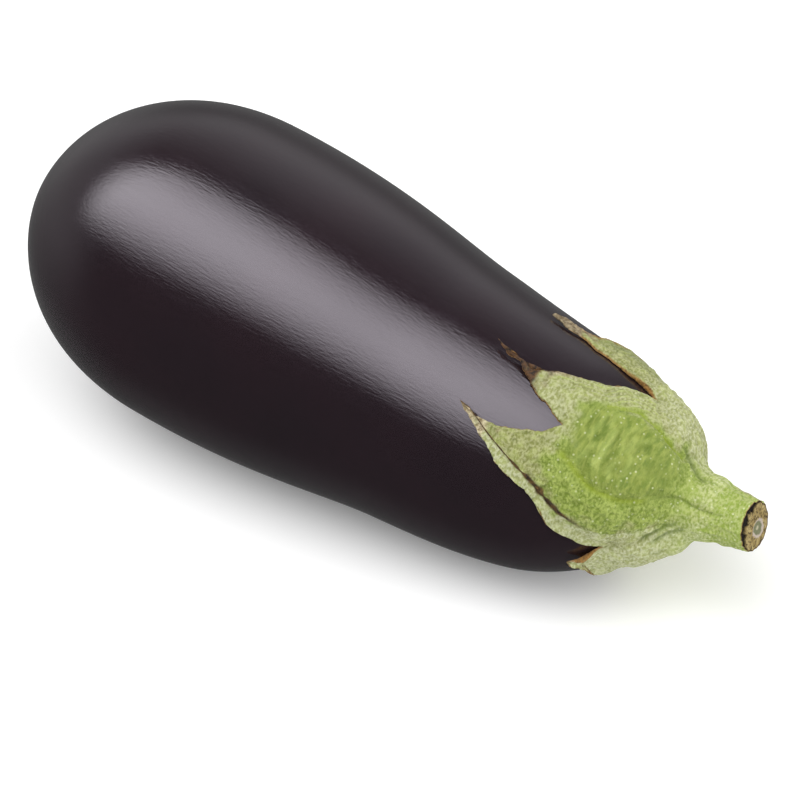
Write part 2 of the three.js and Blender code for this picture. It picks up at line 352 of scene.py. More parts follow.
# Margins of each lobe from its notches to its tip; how far each margin and the tip stand off the
# skin in mm; how high each margin's torn edge stands in mm, filled underneath, and over which
# share of the margin it rises and sinks; how wide each margin's cork is in mm; the distance along
# where the lobe has dried; how pale it dried; how thick its down is; how many rows of points lie
# past the notches and how many columns across; and the line of a split down the lobe.
SPLIT_NOTCH = (68.5, 35.5)  # where the split leaves the crown
LOBES = {
    "far": dict(
        left=[(-52, 36.8), (-48.5, 43.5), (-43, 48.2), (-35.5, 51.3), (-29.5, 53.5), (-26.2, 56.5),
              (-26.5, 60.5)],
        right=[(-23.5, 35), (-22, 38), (-21, 42.2), (-21, 46.5), (-21, 50.5), (-22.5, 54.3),
               (-21.8, 57.3), (-22, 60.8)],
        tip=(-23.5, 64.5), lift=(0.8, 0.15, 0.5), wall=(0.0, 0.8, 0.1, 0.12, 0.4), cork=(2.2, 0.4),
        dry=54.5, pale=0.5, down=0.3, grid=(96, 64),
    ),
    "upper": dict(
        left=[(-12, 36.9), (-3, 41.2), (2.2, 46.7), (5.4, 50.6), (9.2, 54.6), (13, 57.6), (11.5, 61),
              (11.8, 64)],
        right=[(26.5, 45.8), (23.7, 48.7), (21, 53), (17, 57), (13.6, 61), (13.3, 64.6)],
        tip=(10.2, 68.3), lift=(0.3, 0.2, 1.6), wall=(0.0, 0.0, 0.1, 0.1, 0.4), cork=(0.4, 0.3),
        dry=54, pale=0.0, down=0.6, grid=(130, 104),
    ),
    "near": dict(
        left=[(31.8, 45.2), (34.8, 46.5), (37.5, 49.5), (41, 55.5), (42.3, 59.5), (41.3, 63.8)],
        right=[(93, 27), (87, 30.5), (83, 33.8), (80, 36), (76, 37.5), (69.5, 40), (64, 43.8),
               (61, 47.5), (58, 51.8), (50.5, 57.3)],
        tip=(39.5, 67.2), lift=(0.9, 0.3, 2.6), wall=(0.0, 0.0, 0.1, 0.1, 0.4), cork=(0.3, 0.3),
        dry=59, pale=1.0, down=0.25, grid=(116, 76),
        split=[(75, 16), (77.5, 19), (78.5, 22), (77.5, 25.3), (75, 28.5), (72, 32), SPLIT_NOTCH,
               (62.5, 40), (57.5, 44), (54, 48.5), (46.5, 57.5), (41, 63.3)],
    ),
    "low": dict(
        left=[(99, 24.5), (103.5, 27.3)],
        right=[(158, 22), (151, 24), (144.5, 26), (137, 26.6), (127, 26.6), (114, 27.4)],
        tip=(106.3, 30.8), lift=(0.4, 1.6, 0.8), wall=(1.6, 0.0, 0.6, 0.6, 0.95), cork=(0.5, 0.12),
        dry=30, pale=0.6, down=1.0, grid=(36, 56),
    ),
    "under": dict(
        left=[(182, 31), (196, 40), (206, 50)],
        right=[(228, 36), (222, 45), (214, 53)],
        tip=(210, 60), lift=(0.5, 0.9, 1.4), wall=(0.3, 0.3, 0.1, 0.1, 0.4), cork=(0.4, 0.4),
        dry=53, pale=0.5, down=0.6, grid=(84, 56),
    ),
    "back": dict(
        left=[(243, 35), (254, 46), (262, 55)],
        right=[(294, 36), (283, 46), (272, 55)],
        tip=(267, 63), lift=(0.8, 0.4, 1.8), wall=(0.3, 0.6, 0.1, 0.1, 0.4), cork=(0.4, 0.5),
        dry=56, pale=0.6, down=0.6, grid=(84, 60),
    ),
}
CROWN_ROWS = 52  # from the shoulder to the notches
FLARE_ROWS = 30  # from inside the stem to the shoulder
LINE_POINTS = 24  # along each crease, furrow, fold and hollow
STRIP_COLUMNS = 30  # below the split of the near lobe
INNER_COLUMNS = 10


def through(points, count, steps=24):
    """A smooth line through points, evenly spaced by length: between neighbours a cubic whose
    slope at each point is half the way from the one before to the one after."""
    points = np.array(points, float)
    padded = np.vstack([2 * points[0] - points[1], points, 2 * points[-1] - points[-2]])
    t = np.linspace(0, 1, steps)[:-1, None]
    dense = []
    for before, start, end, after in zip(padded, padded[1:], padded[2:], padded[3:]):
        dense.append(bezier(start, start + (end - before) / 6, end - (after - start) / 6, end, t))
    dense = np.vstack(dense + [points[-1:]])
    at = np.concatenate([[0], np.cumsum(np.hypot(*np.diff(dense, axis=0).T))])
    even = np.linspace(0, at[-1], count)
    return np.stack([np.interp(even, at, dense[:, 0]), np.interp(even, at, dense[:, 1])], -1)


def wander(count, length, seed):
    """An irregular wave along a margin, nought at both ends, of unit size: seeded cosines."""
    rng = np.random.default_rng(seed)
    at = np.linspace(0, length, count)
    waves = sum(
        np.cos(at * 2 * np.pi / wave + rng.uniform(0, 7)) * weight
        for wave, weight in ((9.0, 1.0), (4.7, 0.8), (2.6, 0.6), (1.5, 0.45))
    )
    return waves * np.minimum(1, np.minimum(at, length - at) / 3)


def lobe_lines(number, name):
    """The lobe's left and right edges from the shoulder to the tip, and its split, as rows of
    (degrees, mm). Past the notch the margins wander a little, as a torn leaf edge does."""
    lobe, rows = LOBES[name], LOBES[name]["grid"][0] + 1
    edges = []
    for side, crease in (("left", CREASES[number]), ("right", CREASES[number + 1])):
        margin = through([crease[-1], *lobe[side], lobe["tip"]], rows)
        ragged = 0.22 * wander(rows, np.hypot(*(margin[0] - margin[-1])), 10 * number + len(side))
        margin[:, 0] += ragged
        edges.append(np.vstack([through(crease, CROWN_ROWS + 1), margin[1:]]))
    split = lobe.get("split")
    if split:
        notch = split.index(SPLIT_NOTCH)
        upper, lower = split[: notch + 1], [*split[notch:], lobe["tip"]]
        split = np.vstack([through(upper, CROWN_ROWS + 1), through(lower, rows)[1:]])
    return edges[0], edges[1], split


LINES = {name: lobe_lines(number, name) for number, name in enumerate(LOBES)}
RIM = [line[CROWN_ROWS:] for left, right, _ in LINES.values() for line in (left, right)]


def way_to(angle, along, lines, spacing=3):
    """Shortest distance in mm over the surface to any of some lines of (degrees, mm), by the
    nearest point of each of their short straight stretches."""
    girth = np.interp(np.clip(along, 8, None), OUTLINE_AT, OUTLINE[:, 1])
    nearest = np.full(angle.shape, 1e3)
    for line in lines:
        line = np.vstack([line[:-1:spacing], line[-1:]])
        for (start_angle, start), (end_angle, end) in zip(line, line[1:]):
            turn = np.radians((np.degrees(angle) - start_angle + 180) % 360 - 180)
            a, b = turn * girth, along - start
            run_a, run_b = np.radians(end_angle - start_angle) * girth, end - start
            share = np.clip((a * run_a + b * run_b) / (run_a**2 + run_b**2 + 1e-9), 0, 1)
            nearest = np.minimum(nearest, np.hypot(a - share * run_a, b - share * run_b))
    return nearest


def noise(points, wavelength, seed, stretch=(1, 1, 1), count=40):
    """Smooth noise of unit spread at points in mm: the sum of many cosine waves with seeded
    directions and phases, of about one wavelength, drawn out by the stretch along each axis."""
    rng = np.random.default_rng(seed)
    waves = rng.normal(size=(count, 3))
    rate = 2 * np.pi / wavelength / rng.uniform(0.7, 1.5, count)
    waves *= (rate / np.linalg.norm(waves, axis=1))[:, None]
    phases = rng.uniform(0, 2 * np.pi, count)
    return np.cos(points / np.array(stretch) @ waves.T + phases).sum(-1) * np.sqrt(2 / count)


# The swollen part of the crown, bright green and almost bald; the wider part round it that is
# green but still downy; and the yellow-green furrows that bound the swelling.
BULGE = [
    (16, 41.5), (30, 41), (40, 39), (44, 36), (47.5, 32.3), (50.5, 27), (51, 22.5), (47, 17), (41, 12),
    (20, 9), (1, 10), (-3, 15.8), (-1, 20), (0, 25), (3, 31), (9, 36.5),
]
GREEN = [
    (15, 43), (8, 37.5), (0, 31.5), (-4, 24), (-13, 17), (-15, 12), (-8, 7), (5, 6), (42, 6), (70, 7),
    (76, 12), (77, 25), (72.5, 32), (63, 38.5), (58, 41), (48, 43), (36.5, 41), (26, 41.5),
]
FURROWS = [
    [(9, 37), (2.5, 32.8), (-0.5, 30), (-1, 27.3), (-2, 23.5), (-2, 19.5), (-4.5, 15.8)],
    [(40.5, 40.8), (42.5, 38), (46.5, 34.8), (49.5, 32.3), (51.5, 29.8), (52.5, 26.3), (53, 22.5),
     (49, 18)],
]
# The swelling's sharpest folds, and three hollows where the crown is pinched at the stem: two by
# the low lobe and one between the upper lobe and the far one. The folds also carry a painted
# highlight, and the hollows painted shade.
FOLDS = [
    [(18.5, 32.3), (24.5, 31.8), (30, 32.3), (35.5, 32.3), (39.5, 32.8)],
    [(16, 28), (21, 27.8), (25, 27.8)],
    [(27, 26), (31.5, 25.5), (37, 25.3)],
    [(32.5, 28), (37, 29), (42, 28.3)],
    [(8, 33.5), (13, 34.3), (17.5, 34.5)],
    [(29.5, 34.8), (33.5, 35.3), (38, 36), (41.5, 36.8)],
]
HOLLOWS = [
    [(89.5, 14.5), (85.5, 13.5), (82.5, 12), (80, 11), (79.5, 9.5)],
    [(97.5, 12.5), (95, 11.5), (93.5, 10.3), (93.5, 9), (93, 7.8)],
    [(-14.5, 16.5), (-14.5, 14.5), (-13.5, 12.8), (-10, 10.5), (-5, 8.8), (-0.5, 7.5)],
]
# Flutes of the stem: degrees round the stem, degrees where each starts on the crown, and strength.
FLUTES = [(-60, -60, 0.5), (-7, -9, 0.5), (50.5, 41, 0.7), (92, 92, 0.2), (167, 167, 0.7), (233, 233, 0.6)]


def inside(angle, along, outline):
    """How far in mm a point lies inside a closed outline of (degrees, mm); outside it is less
    than nought. A point is inside if a line from it crosses the outline an odd number of times."""
    degrees = (np.degrees(angle) + 180) % 360 - 180
    crossed = np.zeros(angle.shape, bool)
    loop = outline + outline[:1]
    for (start_angle, start), (end_angle, end) in zip(loop, loop[1:]):
        spans = (start > along) != (end > along)
        meets = start_angle + (along - start) / (end - start + 1e-9) * (end_angle - start_angle)
        crossed ^= spans & (degrees < meets)
    return np.where(crossed, 1, -1) * way_to(angle, along, [np.array(loop, float)], 1)


def smooth(value, low, high):
    """An S curve from 0 at low to 1 at high, either way round."""
    share = np.clip((value - low) / (high - low), 0, 1)
    return share * share * (3 - 2 * share)


def grooves(angle, along):
    """Depth in mm of the flutes where the creases run on up the stem, each a narrow bell curve
    round the stem inside a wide one that fades out toward the cut, with finer ribs between them;
    and how much painted shade each place takes, a dark line along each flute's narrow curve."""
    reach = smooth(along, -12, 3) * (1 - smooth(along, 13, 18))
    depth, line = np.zeros((2, *np.broadcast(angle, along).shape))
    for low, high, strength in FLUTES:
        turn = angle - np.radians(low + (high - low) * smooth(along, 5, 11))
        turn = (turn + np.pi) % (2 * np.pi) - np.pi
        turn -= 0.04 * np.sin(along / 2.3 + low)
        narrow, wide = bell(turn / 0.045), bell(turn / 0.2)
        depth += strength * (0.35 * narrow + 0.35 * wide)
        line += strength * narrow * smooth(along, -6, 8)
    ribs = 0.10 * np.cos(13 * angle + 0.12 * along) + 0.07 * np.cos(21 * angle - 0.2 * along + 1)
    return depth * reach + ribs * (1 - smooth(along, 8, 18)), line * reach


PILLOW, PILLOW_FADE = 1.5, 1.5
SHEET_CROWN, SHEET_RIM, SHEET_TIP = 1.5, 0.95, 0.6  # mm, thickness
EDGE_ROUND = 0.6  # mm over which the rim rounds off
SPLIT_STEP = 0.95  # mm down from the near lobe to the strip below its split


def packed(count, strength):
    """Shares from 0 to 1 that lie closer together at both ends, moved by a sine."""
    even = np.linspace(0, 1, count + 1)
    return even - strength * np.sin(2 * np.pi * even) / (2 * np.pi)


def between(left, right, shares):
    """Points on the straight lines from one edge to another, by shares of the way across."""
    return left[:, None] + shares[:, None] * (right - left)[:, None]


def leaf_grid(name):
    """Where one lobe's points lie, in rows from inside the stem to the tip and columns from its
    left edge to its right one: the angle, the place along, the share of the way across, whether
    it is below the split, the row from the shoulder, and the share of the rows past the notches."""
    left, right, split = LINES[name]
    leaf_rows, leaf_columns = LOBES[name]["grid"]
    columns = packed(leaf_columns, 0.6)
    if split is None:
        share = columns + np.zeros((len(left), 1))
        across = between(left, right, columns)
        below = 0 * share
    else:
        strip = packed(STRIP_COLUMNS, 0.5)
        across = np.concatenate([between(left, split, columns), between(split, right, strip)], 1)
        wide, narrow = [np.linalg.norm(gap, axis=1)[:, None] for gap in (split - left, right - split)]
        part = wide / (wide + narrow + 1e-6)
        share = np.concatenate([columns * part, part + strip * (1 - part)], 1)
        below = 0 * share + (np.arange(share.shape[1]) > leaf_columns)

    flare = np.linspace(ROOT, SHOULDER, FLARE_ROWS + 1)[:-1, None] + 0 * share[0]
    along = np.vstack([flare, across[..., 1]])
    angle, share, below = [
        np.vstack([values[0] + 0 * flare, values]) for values in (across[..., 0], share, below)
    ]
    row = np.arange(len(angle))[:, None] - FLARE_ROWS
    return np.radians(angle), along, share, below, row, np.clip((row - CROWN_ROWS) / leaf_rows, 0, 1)


def green_waves(name, angle, along, share, rim, crease, place):
    """The calyx's own unevenness: the swelling's soft ridges round the fruit, about 3 mm apart,
    which die out toward the stem, its lumps, the pebbles of the down, and the folds along some
    margins. Ridges and folds are sine waves of a distance shaken by noise."""
    wavy = along + 0.6 * noise(place, 9, 5) + 0.2 * noise(place, 4, 4) - 1.5 * np.sin(angle * 3)
    ridges = np.sin(2 * np.pi * wavy / 3.4) * smooth(along, 20, 27) * smooth(angle, 0.0, 0.3)
    ridges *= smooth(noise(place, 8, 3), -0.6, 0.2)
    lumps = 0.10 * noise(place, 3.4, 15, (1.3, 1, 1)) + 0.15 * noise(place, 7, 16)
    pebbles = 0.11 * noise(place, 1.7, 6, (1.6, 1, 1)) + 0.08 * noise(place, 4.2, 7)
    folds = 0.3 * np.sin(2 * np.pi * rim / 1.7 + 1.2 * noise(place, 8, 8)) * smooth(rim, 0.5, 1.4)
    folds *= (1 - smooth(rim, 6, 9)) * smooth(share, 0.75, 0.35) * (name in ("upper", "back"))
    folds *= smooth(crease, 0, 1.5)
    return ridges, lumps, pebbles, folds


def dried_edges(name, angle, along, share, row, rim, place):
    """What the material needs to know of a lobe's cork: how far each place has dried, how pale it
    is, its way from the rim as a share of the cork's width, and how much of the split it shows."""
    lobe, split = LOBES[name], LINES[name][2]
    dry = smooth(along + 1.2 * noise(place, 3, 9), lobe["dry"] - 2, lobe["dry"] + 2.5)
    pale = np.full(along.shape, lobe["pale"])
    left_cork, right_cork = lobe["cork"]
    edge = rim / (left_cork + (right_cork - left_cork) * smooth(share, 0.4, 0.6))
    if name == "upper":  # a rusty band runs from the tail back along the upper margin
        dry = np.maximum(dry, bell(rim) * smooth(along, 44, 51) * smooth(share, 0.6, 0.4))
        pale = 0.7 * smooth(along, 54, 52)
    split_amount = np.zeros(along.shape)
    if split is not None:
        to_split = way_to(angle, along, [split])
        wide = 0.2 + 0.55 * smooth(along, 51, 44)
        wide *= 1 + 0.25 * noise(place, 3, 11)
        split_amount = smooth(row, 26, CROWN_ROWS - 4) * smooth(to_split, 1.3 * wide, 0.5 * wide)
        edge = np.where(to_split < 3, np.maximum(edge, 1.3), edge)
    return dict(dry=dry, pale=pale, rim=edge, split=split_amount)


def leaf(name):
    """One lobe: the angle, place along, outer face and lift of each of its points, and what the
    material needs to know of it."""
    lobe = LOBES[name]
    angle, along, share, below, row, reach = leaf_grid(name)
    rim = way_to(angle, along, RIM)
    on_margin = row[:, 0] >= CROWN_ROWS
    rim[on_margin, 0] = rim[on_margin, -1] = 0
    place = green_base(angle, along)
    bulge = smooth(inside(angle, along, BULGE), -2.5, 3.0) * smooth(along, 8, 19)
    green = smooth(inside(angle, along, GREEN) + 1.2 * noise(place, 4, 12), -2.0, 2.2)
    to_furrow, to_fold, to_hollow, to_step, *to_crease = [
        way_to(angle, along, [through(line, LINE_POINTS) for line in lines], 1)
        for lines in (FURROWS, FOLDS, HOLLOWS, FURROWS[:1], *[[line] for line in CREASES[:6]])
    ]
    nearest_crease = np.min(to_crease, 0)
    fold_line = bell(to_fold / 0.5)
    # Along the swelling's first furrow a step is sunk and painted with shade, as the hollows are.
    step_line = bell(to_step / 0.45) * smooth(along, 38, 30)
    hollow_line = np.maximum(bell(to_hollow / 0.7), 0.7 * step_line)
    valley, furrow = 1.0, 0.0
    for way, (depth, width, line) in zip(to_crease, VALLEYS):
        valley *= 1 - depth * bell(way / width)
        furrow += line * bell(way / 0.7)
    furrow *= smooth(along, 6, 14) * smooth(rim, 0.5, 3)

    left_lift, right_lift, tip_lift = lobe["lift"]
    lift = left_lift * (1 - share) ** 3 + right_lift * share**3
    lift += tip_lift * smooth(along, lobe["dry"] - 8, lobe["tip"][1]) ** 1.5
    if name == "upper":  # the tail is a twisted thread
        tail = smooth(along, 56, 60)
        lift += tail * (0.9 + 1.1 * (share - 0.5) * np.sin(along * 2 * np.pi / 6.5))
    lift *= smooth(reach, 0, 0.35)
    left_wall, right_wall, risen_at, sinks_from, sunk_at = lobe["wall"]
    standing = smooth(reach, 0, risen_at) * (1 - smooth(reach, sinks_from, sunk_at))
    wall = standing * (left_wall * (1 - share) ** 8 + right_wall * share**8)

    sheet = SHEET_CROWN + (SHEET_RIM - SHEET_CROWN) * smooth(row, 0, CROWN_ROWS)
    sheet = sheet + reach * (SHEET_TIP - SHEET_RIM)
    flat = smooth(along, SEAM, SHOULDER)  # the flare carries the stem's own shape
    pillow = PILLOW * valley * (1 - reach) ** PILLOW_FADE * smooth(along, 7, SHOULDER)
    pillow *= 1 - bell(rim / 4.5)
    from_far = (angle + np.radians(60) + np.pi) % (2 * np.pi) - np.pi
    full = bell(from_far / 0.6) * bell((along - 24) / 8) * (1 - bell(rim / 1.5))
    low_down = bell((angle - np.radians(135)) / 0.45) * smooth(along, 6, 9.5) * smooth(along, 20, 8)
    pillow += 1.7 * full + 2.6 * low_down  # the crown stands out more far off and low down
    rounding = np.sqrt(1 - (1 - np.clip(rim / EDGE_ROUND, 0, 1)) ** 2)

    ridges, lumps, pebbles, folds = green_waves(name, angle, along, share, rim, nearest_crease, place)
    swelling = 0.55 + 0.3 * ridges + lumps + 0.35 * fold_line
    relief = bulge * swelling + (1 - bulge) * (pebbles * (1 + 0.3 * green) + folds)
    relief = relief - 0.45 * bell(to_furrow / 0.9) - 0.5 * hollow_line
    relief *= smooth(rim, 0, 1.5) * smooth(along, 3, 14)
    for way in to_crease[:1] + to_crease[4:]:  # the swelling runs on over the filled ones
        relief *= smooth(way, 0, 1.6)

    if name == "low":  # its crown lies level with the strip's
        below = 1 - smooth(share, 0.25, 0.8)
    step = SPLIT_STEP * below * (0.45 * smooth(row, 4, 22) + 0.55 * smooth(row, 22, CROWN_ROWS))
    step *= 1 - 0.6 * reach
    outer_height = lift + wall + rounding * (sheet * flat + pillow)
    outer_height = outer_height + relief - furrow - step * smooth(rim, 0.0, 0.7)
    groove, groove_shade_line = grooves(angle, along)
    outer_height = np.maximum(outer_height, lift + wall + 0.35 * rounding) - groove
    dip = DIP * np.clip(SEAM - along, 0, None) ** 2  # the end that lies inside the stem
    normal = green_normal(angle, along)
    outer = place + normal * (outer_height - dip)[..., None]
    outer[-1] = outer[-1].mean(0)

    down = 0.5 + (lobe["down"] + 0.7 * below - 0.5) * smooth(nearest_crease, 0, 4)
    # Painted highlight on the ridges, the folds and the tops of pebbles and margin folds; painted shade on
    # the low side of ridges and lumps and between pebbles.
    light = bulge * (0.45 * smooth(ridges, -0.3, 1.0) + 0.8 * fold_line)
    light += (1 - bulge) * (0.4 * smooth(pebbles, 0, 0.2) + 2.5 * folds)
    shade = bulge * 0.6 * smooth(ridges + 3 * lumps, 0.1, -0.9)
    shade += (1 - bulge) * 0.4 * smooth(pebbles, 0, -0.2)
    if name == "far":  # greener toward its tip, with painted shade over its outer part there
        down += 0.5 * smooth(along, 40, 28) * smooth(nearest_crease, 0, 4)
        shade += 0.7 * smooth(along, 32, 40) * smooth(share, 0.75, 0.4)
    near_stem = 1 - smooth(along, 5, 15)
    # Painted shade along the stem's flutes and in the hollows; the stronger shade wins.
    shade = np.maximum(np.maximum(0.6 * shade, 1.2 * groove_shade_line), 1.1 * hollow_line)
    facts = dried_edges(name, angle, along, share, row, rim, place)
    facts.update(down=down, light=light, shade=shade, stalk=near_stem, furrow=bell(to_furrow / 0.7))
    facts["green"] = np.maximum(green, bulge)
    facts["bald"] = np.maximum(bulge, 0.8 * near_stem)
    facts["speck"] = np.maximum(green, near_stem)
    return angle, along, outer, lift, facts


def calyx_parts():
    """All lobes: the outer grids with a small cap inside the stem, and the inner grids that follow
    the skin to the neck pole. Each block takes its facts from rows and columns of its lobe."""
    points, faces, facts = [], [], {}
    count = 0
    for name in LOBES:
        angle, along, outer, lift, lobe_facts = leaf(name)
        rows, columns = np.arange(len(angle)), np.arange(angle.shape[1])
        cap_centre = stem_point(np.zeros(1), np.array([COLLAR_AT + SEAM - ROOT]), np.zeros(1))
        cap = np.stack([0 * outer[0] + cap_centre, outer[0]])

        picked = np.round(np.linspace(0, columns[-1], INNER_COLUMNS + 1)).astype(int)
        picked = np.array([0, *picked, columns[-1]])  # the margins twice, for the torn edge
        crown = np.ix_(rows[FLARE_ROWS:], picked)
        under = skin(angle[crown], along[crown], GAP + lift[crown])
        under[CROWN_ROWS:, [0, -1]] = outer[FLARE_ROWS + CROWN_ROWS :, [0, -1]]
        under[-1] = outer[-1, 0]
        has_edge = np.ones((len(under) - 1, len(picked) - 1), bool)
        has_edge[:CROWN_ROWS, [0, -1]] = False
        dome_along = np.linspace(0, 1, 5)[:, None] * along[crown][0]
        dome = skin(angle[crown][0] + 0 * dome_along, dome_along, GAP + 0 * dome_along)
        dome[-1] = under[0]

        for part, part_rows, part_columns, inner in [
            (outer, rows, columns, False),
            (cap, [0, 0], columns, False),
            (under, rows[FLARE_ROWS:], picked, True),
            (dome, [FLARE_ROWS] * len(dome), picked, True),
        ]:
            quads = grid_faces(*part.shape[:2], count, inner)
            faces.append(quads[has_edge.ravel()] if part is under else quads)
            points.append(part.reshape(-1, 3))
            count += len(points[-1])
            for key, value in {**lobe_facts, "inner": np.full(angle.shape, float(inner))}.items():
                facts.setdefault(key, []).append(value[np.ix_(part_rows, part_columns)].ravel())
    return np.vstack(points), faces, {key: np.concatenate(value) for key, value in facts.items()}


def downy_green(facts):
    """Down-covered green plant skin. Star-shaped hairs 0.2 to 0.4 mm across lie so thick on the
    lobes that they look pale and pebbled; they are drawn at about 0.7 mm to show. Where the crown
    has swollen they stand apart, and the bright green shows between them, finely wrinkled."""
    material, tree = new_material("downy calyx")
    place = add(tree, "TexCoord", output="Object")
    fact = {key: add(tree, "Attribute", output="Fac", attribute_name=key) for key in facts}

    # Pebbles and wrinkles are drawn out round the fruit; tufts, patches and crumbs of cork are not.
    grains = []
    for scale, detail, rough in [
        ((1700, 1100, 1100), 2, 0.5),
        ((1300, 380, 520), 2, 0.5),
        ((2000, 2000, 2000), 2, 0.5),
        ((260, 260, 260), 3, 0.5),
        ((900, 900, 900), 4, 0.7),
    ]:
        grain = {"Vector": add(tree, "Mapping", {"Vector": place, "Scale": scale}), "Scale": 1}
        grains.append(add(tree, "TexNoise", {**grain, "Detail": detail, "Roughness": rough}))
    pebble, wrinkle, tuft, patch, crumb = grains
    # Stray tufts stand out as white specks where the down is thin. The rim, the split and the dried
    # tips are cork: tan, breaking up into dark brown.
    dot = add(tree, "TexVoronoi", {"Vector": place, "Scale": 800})
    thick = {0: fact["stalk"], 1: 0.3, 2: dot.node.outputs["Color"]}
    thick = add(tree, "Math", thick, operation="MULTIPLY_ADD")
    edge = add(tree, "Math", {0: crumb, 1: 1.2, 2: fact["rim"]}, operation="MULTIPLY_ADD")
    pebbly, wrinkly, patchy, crumbly, near_dot, speck, at_rim, depth = [
        add(tree, "MapRange", dict(zip(LIMITS, values)))
        for values in [
            (pebble, 0.39, 0.61),
            (wrinkle, 0.42, 0.66),
            (patch, 0.35, 0.65),
            (crumb, 0.35, 0.65),
            (dot, 0.28, 0.08),
            (thick, 0.42, 0.8, 0.0, 0.75),
            (edge, 0.75, 1.35, 0.95, 0.0),
            (fact["bald"], 0.0, 1.0, 0.0005, 0.0001),
        ]
    ]
    for share in (near_dot, fact["speck"]):
        speck = add(tree, "Math", {0: share, 1: speck}, operation="MULTIPLY")

    # First the tints that run from one colour to another, then the layers of tint over tint. The light
    # and shade tints are a painted highlight and painted shade over the calyx's relief.
    tint = {"crest": srgb("939F48"), "light": srgb("B2C068"), "shade": srgb("54681A")}
    tint.update(furrow=srgb("92A426"), speck=srgb("D8DEB4"))
    for key, amount, low, high in [
        ("olive", pebbly, "7A7E3A", "A1A268"),
        ("white", pebbly, "9FA468", "C8CBA2"),
        ("hairy", pebbly, "728628", "9BAA52"),
        ("fresh", patchy, "6A7F28", "7C8C32"),
        ("stalk", pebbly, "98AE48", "C6D088"),
        ("dark", crumbly, "1C130C", "6A4828"),
        ("tan", crumbly, "7A6844", "DCD0AC"),
        ("torn", crumbly, "1E140A", "6E5022"),
        ("rust", crumbly, "5E4018", "B08848"),
        ("inner", crumbly, "8A5C24", "BC9050"),
    ]:
        tint[key] = add(tree, "Mix", {0: amount, 6: srgb(low), 7: srgb(high)}, data_type="RGBA")
    part = {}
    for key in ("stalk", "light", "shade", "furrow"):
        part[key] = add(tree, "Math", {0: fact[key], 1: 0.6}, operation="MULTIPLY")
    for key, under, over, amount in [
        ("skin", "olive", "white", fact["down"]),
        ("fresh", "fresh", "crest", wrinkly),
        ("fresh", "hairy", "fresh", fact["bald"]),
        ("skin", "skin", "fresh", fact["green"]),
        ("skin", "skin", "stalk", part["stalk"]),
        ("skin", "skin", "light", part["light"]),
        ("skin", "skin", "shade", part["shade"]),
        ("skin", "skin", "furrow", part["furrow"]),
        ("skin", "skin", "speck", speck),
        ("cork", "dark", "tan", fact["pale"]),
        ("skin", "skin", "rust", at_rim),
        ("skin", "skin", "cork", fact["dry"]),
        ("skin", "skin", "torn", fact["split"]),
        ("skin", "skin", "inner", fact["inner"]),
    ]:
        tint[key] = add(tree, "Mix", {0: amount, 6: tint[under], 7: tint[over]}, data_type="RGBA")

    crinkle = add(tree, "Math", {0: wrinkle, 1: fact["bald"]}, operation="MULTIPLY")
    bump = add(tree, "Bump", {"Height": pebble, "Distance": depth})
    for height, distance in [(crinkle, 0.0006), (tuft, 0.0002)]:
        bump = add(tree, "Bump", {"Height": height, "Distance": distance, "Normal": bump})
    look = {"Base Color": tint["skin"], "Roughness": 0.6, "IOR": 1.4, "Normal": bump}
    look.update({"Sheen Weight": 0.08, "Sheen Roughness": 0.5})
    add(tree, "OutputMaterial", {"Surface": add(tree, "BsdfPrincipled", look)})
    return material


calyx_points, calyx_faces, calyx_facts = calyx_parts()
green_skin = downy_green(calyx_facts)
calyx = new_piece("calyx_cap", placed(calyx_points), calyx_faces, [green_skin], **calyx_facts)
weld(calyx)
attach(calyx, "root")
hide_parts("calyx")


# The stem: the woody stalk that the fruit hung from, cut through with a knife 18 mm from the neck.
# It is fluted where the lobes of the calyx run out on it. The cut shows the bark, a dark gap where
# the drying wood shrank from it, and a pale ring round the pith.

STEM_ROUND, STEM_ROWS = 220, 110
CUT_RINGS = 46
STEM_IN = 2.6  # mm that the stem runs on inside the calyx
SCUFF_AT = np.radians(318)  # round the stem, on its far side
PITH_UP, PITH_NEAR = -0.22, -0.18  # where the pith lies in the cut, as shares of its radius


